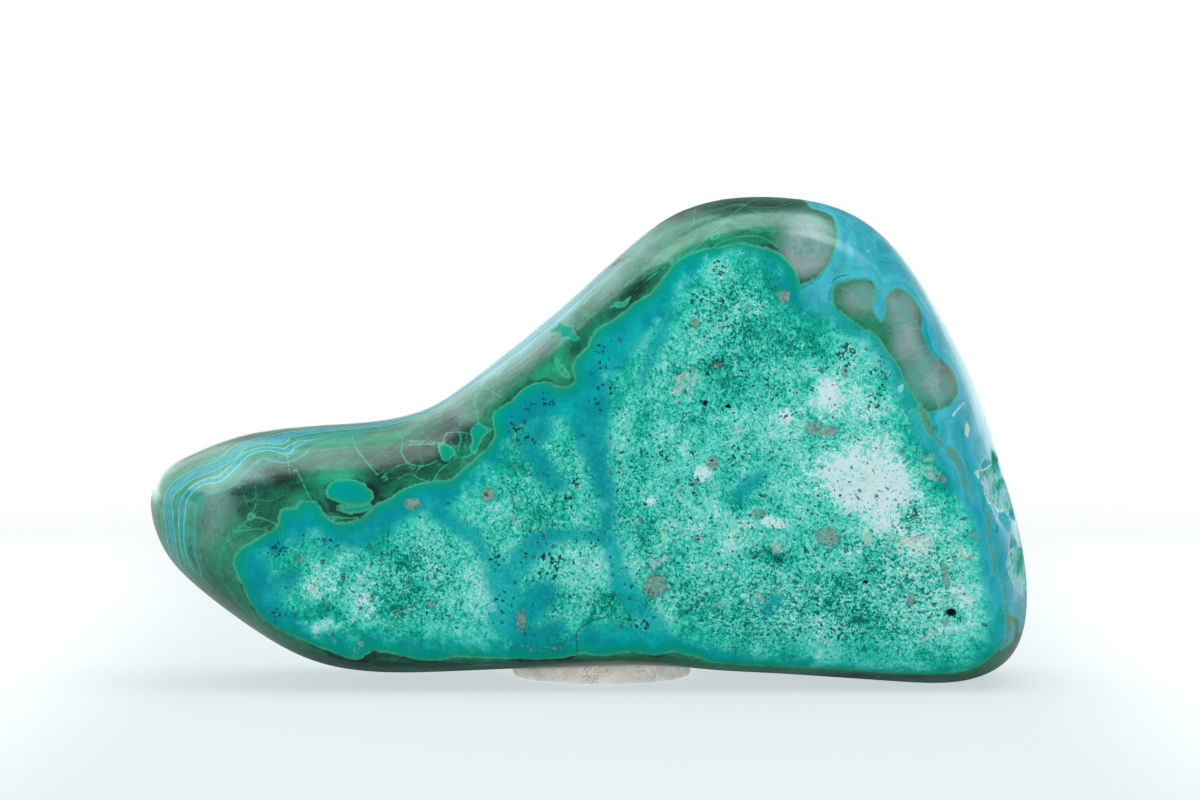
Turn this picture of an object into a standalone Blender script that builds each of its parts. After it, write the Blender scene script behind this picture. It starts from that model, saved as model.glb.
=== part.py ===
"""A polished freeform of chrysocolla and malachite, standing on its edge on a pressed pad of putty.

Metres, +Z up. +X runs along the stone from its toe to its heel, the ground face looks along -Y, and
the origin is on the surface that the stone stands on, under the middle of its bounding box.
"""

from math import cos, pi, radians, sin

import bmesh
import bpy
from mathutils import Quaternion, Vector, noise

MM = 0.001

# The stone's edge seen from the front, clockwise from the tip of the toe, in millimetres:
# (x, z, width of the rounding in front, width of the rounding behind, place on the spine).
OUTLINE = [
    (-63.2, 24.9, 13.0, 14.0, 0.0),
    (-61.6, 29.6, 12.0, 14.0, 0.0),
    (-57.2, 32.3, 11.5, 14.0, 0.1),
    (-48.6, 35.3, 12.0, 14.0, 0.5),
    (-34.2, 36.4, 12.0, 15.0, 1.3),
    (-24.6, 38.1, 12.0, 16.0, 2.0),
    (-18.2, 41.7, 11.0, 17.0, 2.5),
    (-6.9, 50.8, 8.5, 18.0, 3.3),
    (4.7, 60.8, 8.0, 18.0, 4.2),
    (13.3, 67.0, 7.5, 18.0, 4.8),
    (24.7, 69.3, 7.5, 18.0, 5.3),
    (36.2, 67.7, 8.5, 18.0, 5.8),
    (45.0, 61.1, 9.5, 18.0, 6.1),
    (52.2, 49.3, 10.0, 18.0, 6.3),
    (56.9, 38.0, 9.5, 17.0, 6.6),
    (60.0, 28.0, 8.5, 15.0, 7.0),
    (62.5, 18.3, 7.5, 13.0, 7.0),
    (63.0, 9.3, 6.5, 11.0, 7.0),
    (60.4, 2.8, 5.5, 9.0, 7.0),
    (53.6, -0.3, 5.0, 7.0, 6.9),
    (44.0, -0.5, 4.5, 6.0, 6.5),
    (30.0, 0.8, 4.0, 6.0, 5.6),
    (19.0, 1.2, 4.0, 6.0, 4.9),
    (8.0, 2.2, 3.5, 6.0, 4.2),
    (-6.9, 2.0, 3.5, 6.0, 3.1),
    (-26.0, 0.9, 4.0, 7.0, 1.8),
    (-37.5, 1.9, 5.0, 9.0, 1.0),
    (-46.4, 5.9, 7.0, 11.0, 0.4),
    (-55.6, 12.3, 9.5, 13.0, 0.1),
    (-61.1, 18.0, 12.0, 14.0, 0.0),
]
# The line that the roundings close in on, (x, z) in millimetres, from toe to heel.
SPINE = [(-45, 22.5), (-34, 20), (-21, 20.5), (-8, 23), (6, 28), (20, 33), (33, 31), (45, 18)]
STEPS_PER_POINT = 2  # cage points on each stretch of the outline

WIDEST_Y = 0.2  # depth of the widest section
FACE_Y = -20.2  # the ground face at the floor
FACE_LEAN = 0.075  # how far the face goes back for each millimetre of height
FACE_CROWN = 0.5  # how far the middle of the face stands in front of its edge
BACK_Y = 15.8  # the back at the floor, halfway along
BACK_LEAN = -0.03
BACK_TAPER = 0.045  # how much thicker the stone gets behind for each millimetre from toe to heel
BACK_CROWN = 3.0
CROWN_FROM = (-50.0, -16.0)  # where the crowns of the face and the back begin, and are whole
CROWN_TO = (26.0, 58.0)  # where they begin to fall, and are gone
RIM_ANGLES = (18, 38, 58, 76, 90)  # degrees round each rounding, from the widest section
FACE_SHARES = (0.35, 0.7)  # rings on the face, as shares of the way to the spine

# What hand grinding leaves, in millimetres: (name, height, size, deepest y it reaches at full height,
# y where it has died out). The front stays nearly true, and the back is left as lumps and hollows.
SWELLS = [("polishing_swells", 0.6, 17.0, -40.0, -41.0), ("lumps_behind", 3.4, 27.0, 13.4, -4.0)]

# Places where the surface has broken away, in millimetres: (name, side that it is seen from, x, z,
# (radius across, radius up), depth of the bite, height of the ball's centre above the surface,
# turn in degrees). The side is -1 in front and 1 behind.
BREAKS = [
    ("notch_at_edge", -1, 58.2, 30.6, (2.2, 0.9), 1.5, 0.4, 30),
    ("fracture_scar", -1, 58.2, 26.3, (5.4, 7.4), 1.3, 5.0, -12),
    ("scar_lip", -1, 56.6, 29.4, (2.2, 2.4), 0.7, 1.4, 25),
    ("lower_edge_chip", -1, 61.4, 15.2, (3.2, 5.2), 0.7, 3.4, 5),
    ("hole_in_face", -1, 50.4, 11.4, (0.95, 0.8), 1.7, 0.0, 20),
    ("small_hole_in_face", -1, 38.7, 15.4, (0.5, 0.4), 0.8, 0.0, 0),
    ("rim_pit_long", -1, 52.3, 38.9, (1.2, 0.45), 0.5, 0.1, -38),
    ("rim_pit_upright", -1, 53.6, 36.4, (0.42, 0.85), 0.5, 0.1, 12),
    ("hollow_behind", 1, 8.0, 33.0, (8.0, 4.6), 2.2, 1.6, 24),
    ("hollow_end_behind", 1, 15.0, 36.6, (4.2, 3.0), 1.8, 0.8, -10),
    ("pit_behind", 1, -30.0, 24.0, (2.6, 1.4), 1.0, 0.3, 35),
    ("pit_low_behind", 1, 40.0, 14.0, (1.8, 2.6), 0.9, 0.3, -20),
]
BREAK_ROUGHNESS = 0.45  # share of a break's depth by which its walls wander
BREAK_LUMPS = 2.6  # how many lumps there are along a radius
SMALL_BREAK = 2.0  # the radius above which a break gets finer facets

PAD_CENTRE = (2.1, 3.0)
PAD_RADIUS = 13.0
PAD_HEIGHT = 3.2  # before the stone is pressed into it
PAD_WANDER = 0.6
GAP = 0.3  # clearance between stone and putty

STONE_COLOUR = (0.02, 0.36, 0.29, 1.0)
PUTTY_COLOUR = (0.62, 0.58, 0.52, 1.0)


def clear_scene():
    for thing in list(bpy.data.objects):
        bpy.data.objects.remove(thing, do_unlink=True)


def new_collection(name):
    collection = bpy.data.collections.new(name)
    bpy.context.scene.collection.children.link(collection)
    return collection


def make_material(name, colour, roughness):
    material = bpy.data.materials.new(name)
    material.use_nodes = True
    shader = material.node_tree.nodes["Principled BSDF"]
    shader.inputs["Base Color"].default_value = colour
    shader.inputs["Roughness"].default_value = roughness
    shader.inputs["Metallic"].default_value = 0.0
    return material


def make_object(name, form, collection):
    """An object from a bmesh that is in millimetres."""
    bmesh.ops.scale(form, vec=(MM, MM, MM), verts=form.verts)
    mesh = bpy.data.meshes.new(name)
    form.to_mesh(mesh)
    form.free()
    made = bpy.data.objects.new(name, mesh)
    collection.objects.link(made)
    return made


def as_helper(thing):
    thing.hide_render = True
    thing.display_type = "WIRE"
    return thing


def cut_with(target, cutter):
    cut = target.modifiers.new("cut_" + cutter.name, "BOOLEAN")
    cut.operation = "DIFFERENCE"
    cut.object = cutter


def evaluated(thing):
    bpy.context.view_layer.update()
    return thing.evaluated_get(bpy.context.evaluated_depsgraph_get())


def smooth_loop(points, steps):
    """A closed Catmull-Rom curve through tuples of any length, with steps points on each stretch."""
    made = []
    count = len(points)
    for i in range(count):
        before, start, end, after = (points[(i + k) % count] for k in (-1, 0, 1, 2))
        for step in range(steps):
            t = step / steps
            made.append(
                tuple(
                    b + 0.5 * t * (c - a + t * (2 * a - 5 * b + 4 * c - d + t * (3 * (b - c) + d - a)))
                    for a, b, c, d in zip(before, start, end, after)
                )
            )
    return made


def on_spine(place):
    """The point a number of spine points along, such as 2.5 for halfway between points 2 and 3."""
    place = max(0.0, min(len(SPINE) - 1.0, place))
    i = min(int(place), len(SPINE) - 2)
    return Vector(SPINE[i]).lerp(Vector(SPINE[i + 1]), place - i)


def face_y(x, z):
    return FACE_Y + FACE_LEAN * z


def back_y(x, z):
    return BACK_Y + BACK_LEAN * z + BACK_TAPER * x


def eased(share):
    share = max(0.0, min(1.0, share))
    return share * share * (3 - 2 * share)


def crown_at(x):
    """How much of a crown there is, from none at the ends of the stone to all of it in the middle."""
    rise = eased((x - CROWN_FROM[0]) / (CROWN_FROM[1] - CROWN_FROM[0]))
    fall = eased((CROWN_TO[1] - x) / (CROWN_TO[1] - CROWN_TO[0]))
    return min(rise, fall)


def rounding(edge, root, width, end_y, angle):
    """A point on the rounding between the widest section (0 degrees) and the edge of a face (90 degrees)."""
    inward = root - edge
    inset = min(width, 0.8 * inward.length) * (1 - cos(angle))
    place = edge + inward.normalized() * inset
    return Vector((place.x, WIDEST_Y + (end_y(*place) - WIDEST_Y) * sin(angle), place.y))


def half_rings(edges, roots, widths, end_y, crown):
    """The rings from beside the widest section to a face's middle, each a list of points."""
    rings = []
    for degrees in RIM_ANGLES:
        angle = radians(degrees)
        rings.append([rounding(e, r, w, end_y, angle) for e, r, w in zip(edges, roots, widths)])
    rim = rings[-1]
    for share in FACE_SHARES:
        ring = []
        for place, root in zip(rim, roots):
            x = place.x + share * (root.x - place.x)
            z = place.z + share * (root.y - place.z)
            ring.append(Vector((x, end_y(x, z) + crown * crown_at(x) * sin(share * pi / 2), z)))
        rings.append(ring)
    return rings


def add_half(form, widest, rings, stations, end_y, crown):
    """Faces from the widest ring to the row of points on the spine. Both halves share the widest ring."""
    middle = [form.verts.new((x, end_y(x, z) + crown * crown_at(x), z)) for x, z in SPINE]
    loops = [widest] + [[form.verts.new(place) for place in ring] for ring in rings]
    loops.append([middle[station] for station in stations])
    count = len(widest)
    for outer, inner in zip(loops, loops[1:]):
        for i in range(count):
            j = (i + 1) % count
            corners = [outer[i], outer[j], inner[j], inner[i]]
            form.faces.new(dict.fromkeys(corners))


def add_swell(stone, name, height, size, full_y, end_y):
    """Soft lumps along the normals, strongest at full_y and gone at end_y."""
    group = stone.vertex_groups.new(name=name)
    for vertex in stone.data.vertices:
        share = (vertex.co.y / MM - end_y) / (full_y - end_y)
        group.add([vertex.index], max(0.0, min(1.0, share)), "REPLACE")
    texture = bpy.data.textures.new(name, "CLOUDS")
    texture.noise_scale = size * MM
    texture.noise_depth = 0
    swell = stone.modifiers.new(name, "DISPLACE")
    swell.texture = texture
    swell.texture_coords = "LOCAL"
    swell.vertex_group = name
    swell.strength = height * MM
    swell.mid_level = 0.5


def build_stone(collection, cutters):
    loop = smooth_loop(OUTLINE, STEPS_PER_POINT)
    edges = [Vector(point[:2]) for point in loop]
    roots = [on_spine(point[4]) for point in loop]
    stations = [min(round(max(point[4], 0.0)), len(SPINE) - 1) for point in loop]
    form = bmesh.new()
    widest = [form.verts.new((edge.x, WIDEST_Y, edge.y)) for edge in edges]
    front = half_rings(edges, roots, [point[2] for point in loop], face_y, -FACE_CROWN)
    back = half_rings(edges, roots, [point[3] for point in loop], back_y, BACK_CROWN)
    add_half(form, widest, front, stations, face_y, -FACE_CROWN)
    add_half(form, widest, back, stations, back_y, BACK_CROWN)
    bmesh.ops.recalc_face_normals(form, faces=form.faces)
    stone = make_object("chrysocolla_stone", form, collection)

    rounded = stone.modifiers.new("rounded", "SUBSURF")
    rounded.levels = rounded.render_levels = 1
    for swell in SWELLS:
        add_swell(stone, *swell)

    breaks = [break_cutter(stone, *scar, cutters) for scar in BREAKS]
    for cutter in breaks:
        cut_with(stone, cutter)
    cut_with(stone, floor_cutter(cutters))
    return stone


def break_cutter(stone, name, side, x, z, widths, depth, proud, turn, collection):
    """A lumpy ball that bites into the surface, squeezed so that it is as wide and deep as asked."""
    start = Vector((x, side * 100, z)) * MM
    found, place, normal, _ = evaluated(stone).ray_cast(start, Vector((0, -side, 0)))
    if not found:
        raise ValueError(name + " lies outside the stone")
    form = bmesh.new()
    bmesh.ops.create_icosphere(form, subdivisions=3 if max(widths) > SMALL_BREAK else 2, radius=1.0)
    radii = (widths[0], widths[1], depth + proud)
    wander = BREAK_ROUGHNESS * depth / (depth + proud)
    for vertex in form.verts:
        vertex.co *= 1 + wander * noise.noise(vertex.co * BREAK_LUMPS + Vector((x, side, z)))
        vertex.co = Vector(c * r for c, r in zip(vertex.co, radii))
    cutter = make_object(name, form, collection)
    cutter.rotation_mode = "QUATERNION"
    cutter.rotation_quaternion = normal.to_track_quat("Z", "Y") @ Quaternion((0, 0, 1), radians(turn))
    cutter.location = place + normal * proud * MM
    return as_helper(cutter)


def floor_cutter(collection):
    """A block below the resting plane, which grinds the flat land under the heel."""
    form = bmesh.new()
    bmesh.ops.create_cube(form, size=1.0)
    bmesh.ops.scale(form, vec=(180, 90, 10), verts=form.verts)
    bmesh.ops.translate(form, vec=(0, 0, -5), verts=form.verts)
    return as_helper(make_object("floor_block", form, collection))


def build_pad(stone, collection, cutters):
    """The putty: a thick round cake, with the print of the stone's underside in it."""
    form = bmesh.new()
    bmesh.ops.create_cone(
        form, cap_ends=True, segments=48, radius1=PAD_RADIUS, radius2=PAD_RADIUS - 0.2, depth=PAD_HEIGHT
    )
    bmesh.ops.translate(form, vec=(*PAD_CENTRE, PAD_HEIGHT / 2), verts=form.verts)
    for vertex in form.verts:
        out = Vector((vertex.co.x - PAD_CENTRE[0], vertex.co.y - PAD_CENTRE[1], 0)).normalized()
        vertex.co += out * PAD_WANDER * noise.noise(out * 1.7)
    pad = make_object("putty_pad", form, collection)
    softened = pad.modifiers.new("softened_edges", "BEVEL")
    softened.width = 0.35 * MM
    softened.segments = 2
    softened.limit_method = "ANGLE"

    print_mesh = bpy.data.meshes.new_from_object(evaluated(stone))
    stone_print = bpy.data.objects.new("stone_print", print_mesh)
    cutters.objects.link(stone_print)
    grown = stone_print.modifiers.new("clearance", "DISPLACE")
    grown.strength = GAP * MM
    grown.mid_level = 0.0
    cut_with(pad, as_helper(stone_print))
    return pad


def main():
    clear_scene()
    specimen = new_collection("chrysocolla_specimen")
    cutters = new_collection("cutters")
    stone = build_stone(specimen, cutters)
    stone.data.materials.append(make_material("polished_stone", STONE_COLOUR, 0.25))
    pad = build_pad(stone, specimen, cutters)
    pad.data.materials.append(make_material("putty", PUTTY_COLOUR, 0.85))


main()
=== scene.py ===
"""A polished chrysocolla and malachite freeform, propped on its edge by a pressed pad of putty."""

from math import cos, radians, sin

import bpy
import numpy as np
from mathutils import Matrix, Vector
from mathutils.bvhtree import BVHTree


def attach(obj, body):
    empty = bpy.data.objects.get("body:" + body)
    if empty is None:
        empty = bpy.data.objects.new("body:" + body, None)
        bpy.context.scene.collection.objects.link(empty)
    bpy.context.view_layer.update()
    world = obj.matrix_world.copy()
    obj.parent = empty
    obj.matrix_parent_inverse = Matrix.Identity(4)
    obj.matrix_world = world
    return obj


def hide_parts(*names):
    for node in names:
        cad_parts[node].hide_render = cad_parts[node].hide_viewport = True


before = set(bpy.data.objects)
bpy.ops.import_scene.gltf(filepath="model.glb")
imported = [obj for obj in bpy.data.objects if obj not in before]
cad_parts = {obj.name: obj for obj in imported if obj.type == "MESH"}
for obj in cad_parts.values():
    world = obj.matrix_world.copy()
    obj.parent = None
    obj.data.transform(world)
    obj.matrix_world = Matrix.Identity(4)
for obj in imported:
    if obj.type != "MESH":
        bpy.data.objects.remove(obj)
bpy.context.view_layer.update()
MM = 0.001

# --- Camera -------------------------------------------------------------------------------------
# A short telephoto lens on a low tripod, square on to the ground face and a little above it.
AIM = (1.7 * MM, 0.2 * MM, 39.9 * MM)
CAMERA_DISTANCE = 598.75 * MM
CAMERA_ELEVATION = 2.5
LENS = 125.0
SENSOR = 36.0
NEAREST_SEEN = 50 * MM
FRAME_WIDTH, FRAME_HEIGHT = 1200, 800

tilt = radians(CAMERA_ELEVATION)
AHEAD = Vector((0, cos(tilt), -sin(tilt)))
UP = Vector((0, sin(tilt), cos(tilt)))
camera_data = bpy.data.cameras.new("camera")
camera_data.lens = LENS
camera_data.sensor_width = SENSOR
camera_data.clip_start = NEAREST_SEEN
camera = bpy.data.objects.new("camera", camera_data)
bpy.context.scene.collection.objects.link(camera)
camera.location = Vector(AIM) - AHEAD * CAMERA_DISTANCE
camera.rotation_euler = (radians(90 - CAMERA_ELEVATION), 0, 0)
bpy.context.scene.camera = camera
bpy.context.scene.view_settings.view_transform = "Standard"

# --- The stone: its polished skin ---------------------------------------------------------------
# One nodule of chrysocolla in malachite, ground flat in front and tumbled smooth all round. The
# polish stops short of the few places where the stone broke or was already hollow.
VOXEL = 0.55 * MM
MERGE_WITHIN = 0.01 * MM
POLISH_PASSES, SOFTENING_PASSES = 30, 2
PASS_STRENGTH = 0.5
POLISH_FROM = 0.55  # share of a rough place's reach inside which nothing is polished
ROUGH_PLACES = (  # middle and reach
    ((58.2, -9.0, 28.6), 8.5),
    ((61.0, -6.0, 15.2), 4.5),
    ((50.4, -19.3, 11.4), 2.2),
    ((38.7, -19.0, 15.4), 1.5),
    ((52.6, -11.0, 38.0), 4.0),
    ((8.0, 15.7, 33.0), 8.0),
    ((15.0, 15.7, 36.6), 4.0),
    ((-30.0, 14.2, 24.0), 3.0),
    ((40.0, 15.7, 14.0), 3.0),
)


def only(thing):
    """Selects one object alone, because an operator acts on all that is selected."""
    bpy.ops.object.select_all(action="DESELECT")
    bpy.context.view_layer.objects.active = thing
    thing.select_set(True)


def copy_of(node, name):
    """A piece that starts as a CAD node's own form, with its loose triangles merged."""
    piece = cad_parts[node].copy()
    piece.data = piece.data.copy()
    piece.name = piece.data.name = name
    piece.parent = None
    for key in list(piece.keys()):
        del piece[key]
    bpy.context.scene.collection.objects.link(piece)
    only(piece)
    bpy.ops.object.mode_set(mode="EDIT")
    bpy.ops.mesh.select_all(action="SELECT")
    bpy.ops.mesh.remove_doubles(threshold=MERGE_WITHIN)
    bpy.ops.object.mode_set(mode="OBJECT")
    piece.data.materials.clear()
    return piece


def apply_modifier(piece, kind, **settings):
    """Adds one modifier to a piece and applies it at once."""
    made = piece.modifiers.new(kind.lower(), kind)
    for key, value in settings.items():
        setattr(made, key, value)
    only(piece)
    bpy.ops.object.modifier_apply(modifier=made.name)


def points_of(piece):
    """A piece's vertices in millimetres, one row each."""
    flat = np.empty(len(piece.data.vertices) * 3)
    piece.data.vertices.foreach_get("co", flat)
    return flat.reshape(-1, 3) / MM


def ease(value, low, high):
    """A smooth step from 0 at low to 1 at high, or down where high is the lower."""
    t = np.clip((value - low) / (high - low), 0, 1)
    return t * t * (3 - 2 * t)


stone = copy_of("chrysocolla_stone", "polished_stone")
apply_modifier(stone, "REMESH", mode="VOXEL", voxel_size=VOXEL)
skin = points_of(stone)
polish = np.ones(len(skin))
for middle, reach in ROUGH_PLACES:
    polish *= ease(np.linalg.norm(skin - np.array(middle), axis=1), POLISH_FROM * reach, reach)
polished = stone.vertex_groups.new(name="polished")
for index in np.flatnonzero(polish > 0.01):
    polished.add([int(index)], float(polish[index]), "REPLACE")
apply_modifier(stone, "SMOOTH", iterations=POLISH_PASSES, factor=PASS_STRENGTH,
               vertex_group="polished")
apply_modifier(stone, "SMOOTH", iterations=SOFTENING_PASSES, factor=PASS_STRENGTH)
stone.vertex_groups.clear()

# --- The stone: its breaks ----------------------------------------------------------------------
# Grains have plucked out of the ground face and left small holes, and the edge of the heel is
# chipped. The mesh is made finer at these places, and where the stone stands against the light.
FACE_Y, FACE_DEPTH = -19.4, -14.0  # the ground face, and how far back a hole in it may start
HOLE_EDGE = (1.05, 0.6)  # shares of a hole's radius where its wall begins and ends
HOLES = (  # middle x and z, half width, half height and depth
    (50.7, 11.05, 0.72, 0.55, 1.6),
    (50.6, 12.6, 1.0, 1.1, 0.28),
    (38.7, 15.4, 0.38, 0.25, 0.5),
    (16.3, 40.2, 0.4, 0.3, 0.5),
    (19.6, 39.8, 0.35, 0.28, 0.5),
)
CHIPS = (  # a place near it, its flat's turn from the front and up, its depth and reach
    ((56.3, -11.6, 28.4), (50, 2), 0.36, 4.0),
    ((59.2, -7.6, 26.9), (78, 12), 0.34, 4.2),
    ((58.0, -8.6, 30.0), (66, 40), 0.22, 2.2),
    ((60.6, -11.0, 18.0), (60, 6), 0.30, 3.6),
)
CHIP_RIPPLE = 0.07
CHIP_FADE = 0.8  # share of a chip's reach where it begins to fade out
NICKS = (  # place, reach and height outward of the small lumps and nicks beside the chips
    ((57.4, -5.5, 32.2), 0.9, 0.5),
    ((57.8, -5.5, 30.7), 0.45, -0.8),
    ((59.6, -5.5, 27.2), 0.5, 0.25),
)
NICK_STRETCH = (1, 3, 1)
FINE_HOLES = [((x, FACE_Y, z), 2.0) for x, z, *_ in HOLES]
FINE_CHIPS = [((57.8, -9.5, 28.4), 4.6), ((60.6, -10.5, 18.0), 3.0)]
SKYLINE_FROM = 20 * MM
SKYLINE_TURN = 0.1  # how nearly edge-on to the camera a face on the skyline is


def on_skyline(face):
    """True for a face high on the stone that is edge-on to the camera."""
    toward = (camera.location - face.center).normalized()
    return face.center.z > SKYLINE_FROM and abs(face.normal @ toward) < SKYLINE_TURN


def close_to(places):
    """A test for faces within reach of any of some places."""
    return lambda face: any((face.center / MM - Vector(m)).length < reach for m, reach in places)


def refine(piece, cuts, chosen, smoothness=0.0):
    """Divides the faces of a piece that a test chooses."""
    bpy.ops.object.mode_set(mode="EDIT")
    bpy.ops.mesh.select_mode(type="FACE")
    bpy.ops.mesh.select_all(action="DESELECT")
    bpy.ops.object.mode_set(mode="OBJECT")
    for face in piece.data.polygons:
        face.select = chosen(face)
    bpy.ops.object.mode_set(mode="EDIT")
    bpy.ops.mesh.subdivide(number_cuts=cuts, smoothness=smoothness)
    bpy.ops.object.mode_set(mode="OBJECT")


refine(stone, 1, on_skyline, smoothness=1.0)
refine(stone, 2, close_to(FINE_HOLES))
refine(stone, 1, close_to(FINE_CHIPS))
skin = points_of(stone)
for x, z, wide, tall, deep in HOLES:
    out = np.hypot((skin[:, 0] - x) / wide, (skin[:, 2] - z) / tall)
    skin[:, 1] += deep * ease(out, *HOLE_EDGE) * (skin[:, 1] < FACE_DEPTH)
for place, (around, up), deep, reach in CHIPS:
    anchor = skin[np.linalg.norm(skin - np.array(place), axis=1).argmin()]
    around, up = radians(around), radians(up)
    facing = np.array((sin(around) * cos(up), -cos(around) * cos(up), sin(up)))
    shell = np.sin(skin[:, 2] * 3.1 + 1.3 * np.sin(skin[:, 1] * 1.4) + skin[:, 0] * 1.1)
    above = (skin - anchor) @ facing + deep + CHIP_RIPPLE * shell
    near = ease(np.linalg.norm(skin - anchor, axis=1), reach, reach * CHIP_FADE)
    skin -= (np.maximum(above, 0) * near)[:, None] * facing
for place, reach, height in NICKS:
    gap = (((skin - np.array(place)) / NICK_STRETCH) ** 2).sum(axis=1)
    skin[:, 0] += height * np.exp(-gap / reach**2)
stone.data.vertices.foreach_set("co", (skin * MM).ravel())
stone.data.update()
bpy.ops.object.shade_smooth()

# --- The stone: its markings --------------------------------------------------------------------
# Granular blue-green chrysocolla fills the middle, inside a smooth turquoise margin and a thin
# pale-green lace. Malachite makes the rim, and chrysocolla breaks through it again at the heel.
# Outlines are points of the camera's frame, 1200 by 800, and are laid on the skin they cover.
WIDEST_Y = 0.2  # how far back the stone is widest
FOCAL = FRAME_WIDTH * LENS / SENSOR

# The lace round the heart, with the width in millimetres of the margin inside it.
LACE = [
    (239, 578, 3), (234, 565, 3.5), (234, 558, 3.5), (242, 548, 3.5), (252, 542, 3.5),
    (268, 532, 3.5), (278, 525, 3), (279, 514, 3), (283, 509, 3.5), (296, 508, 4), (299, 502, 4),
    (308, 501, 4), (317, 503, 3.5), (324, 514, 3.5), (334, 522, 3), (344, 523, 3), (359, 519, 3),
    (370, 511, 3), (377, 504, 3), (390, 499, 3.2), (400, 491, 3.5), (415, 485, 4), (433, 481, 4),
    (450, 480, 3.5), (461, 471, 3), (472, 462, 2.5), (482, 453, 2.5), (491, 443, 2.5),
    (495, 435, 3), (493, 417, 4), (496, 411, 4.5), (505, 404, 5), (512, 401, 5), (518, 394, 5.5),
    (525, 388, 6), (533, 384, 6), (548, 382, 6), (556, 386, 5.5), (566, 387, 5), (572, 384, 5),
    (575, 379, 5), (573, 369, 5), (575, 360, 5), (581, 353, 5), (588, 347, 5), (591, 338, 5),
    (597, 330, 5), (604, 325, 5), (617, 318, 4.5), (627, 309, 4), (635, 302, 4), (648, 295, 3.5),
    (660, 282, 3), (668, 272, 3), (676, 262, 3), (688, 255, 3), (699, 251, 2.5), (709, 248, 2),
    (722, 247, 1.5), (732, 244, 1.5), (742, 243, 1.5), (755, 246, 2), (770, 249, 2),
    (780, 254, 2.5), (788, 262, 3), (794, 269, 3), (798, 278, 3), (801, 285, 3), (808, 291, 3),
    (822, 300, 2.5), (836, 307, 2), (845, 314, 2), (855, 322, 2), (864, 329, 1.5),
    (874, 333, 1.5), (882, 343, 2), (889, 354, 2), (899, 366, 2), (903, 377, 1.8), (908, 387, 2),
    (914, 396, 2), (920, 408, 1.8), (929, 432, 2), (943, 444, 2), (952, 463, 2),
    (958, 476, 1.9), (964, 490, 1.6), (970, 501, 1.3), (981, 511, 0.8), (985, 524, 0.8),
    (988, 545, 0.8), (992, 563, 0.9), (992, 576, 1.2), (998, 586, 1.4), (1004, 596, 1.6),
    (1003, 608, 2), (1005, 618, 2.4), (1006, 630, 2.8), (1002, 642, 2.6), (994, 654, 2.2),
    (979, 665, 1.2), (960, 672, 0.9), (931, 674, 1.3), (893, 673, 1.3), (849, 670, 1.3),
    (797, 667, 1.3), (746, 665, 1.6), (721, 663, 2), (708, 661, 2.5), (695, 656, 2), (682, 654, 2),
    (672, 651, 2), (664, 654, 2.5), (652, 655, 2.5), (634, 652, 3), (619, 653, 3), (606, 655, 3),
    (593, 655, 3), (583, 653, 2.5),
    (560, 658, 2), (530, 659, 2), (500, 658, 2), (470, 657, 2), (456, 656, 2),
    (441, 660, 2), (421, 660, 2), (403, 656, 2), (385, 652, 2), (370, 652, 2), (359, 659, 2),
    (344, 657, 2.2), (329, 650, 2.5), (319, 647, 2.5), (306, 641, 2.5), (293, 636, 3),
    (283, 631, 3), (273, 626, 3), (262, 618, 3), (255, 609, 3), (248, 598, 3), (243, 586, 3),
]
# The smaller heart behind, as x and z on the stone.
BACK_WINDOW = [
    (-33, 12), (-37, 20), (-30, 26), (-19, 25), (-8, 30), (-1, 40), (7, 50), (17, 55), (29, 51),
    (34, 44), (41, 41), (43, 31), (49, 22), (47, 12), (36, 8), (22, 10), (10, 7), (-6, 9), (-20, 7),
]
# The blue of the heel, and the planes where it begins behind.
BLUE_HEEL = [
    (806, 190), (810, 207), (822, 211), (832, 217), (837, 228), (838, 240), (834, 252),
    (829, 263), (822, 272), (815, 278), (806, 283), (790, 290), (800, 320), (850, 345),
    (880, 400), (920, 460), (950, 500), (970, 560), (975, 620), (990, 650), (1003, 648),
    (1012, 642), (1020, 632), (1050, 630), (1060, 520), (1010, 400), (960, 260), (880, 180),
]
HEEL_FROM, HEEL_FOOT = 28.5, 7.0
# Malachite in the blue: lobes, a seam and olive strips. Lines hold half widths in pixels.
LOBES = [
    [(833, 290), (838, 283), (850, 280), (862, 278), (871, 280), (876, 288), (875, 297),
     (872, 305), (874, 314), (880, 322), (880, 333), (870, 334), (852, 321), (842, 312),
     (833, 303)],
    [(893, 289), (902, 289), (911, 296), (918, 305), (922, 318), (921, 328), (926, 342),
     (932, 354), (942, 362), (952, 370), (957, 382), (957, 394), (951, 404), (940, 410),
     (928, 412), (922, 408), (914, 398), (907, 384), (901, 370), (892, 356), (884, 345),
     (876, 334), (882, 322), (886, 310), (886, 298)],
]
SEAM = [
    [(838, 304, 3), (850, 314, 3), (862, 323, 3), (874, 330, 4), (886, 342, 5), (897, 358, 4.5),
     (905, 374, 4), (911, 388, 4), (918, 402, 3.5), (926, 418, 2.5), (934, 430, 1.5)],
    [(1007, 618, 2), (1016, 622, 5), (1016, 636, 7), (1014, 652, 5), (1004, 662, 7), (990, 670, 7)],
]
STRIPS = [
    [(919, 404, 2), (924, 414, 3.5), (928, 428, 4), (936, 438, 3), (944, 446, 3.5), (953, 454, 5),
     (960, 466, 5.5), (964, 480, 4), (968, 492, 2), (974, 503, 1)],
    [(985, 509, 1), (988, 517, 2.6), (989, 528, 2.8), (986, 537, 1.6), (987, 542, 1)],
    [(987, 541, 1.2), (992, 551, 2.6), (996, 560, 3), (994, 570, 3.2), (992, 575, 1)],
    [(998, 579, 1.5), (1003, 583, 3), (1006, 592, 2.6), (1004, 604, 1.6)],
    [(1003, 609, 1.5), (1008, 614, 4), (1009, 626, 5), (1007, 640, 4), (1001, 648, 2)],
]
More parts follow.
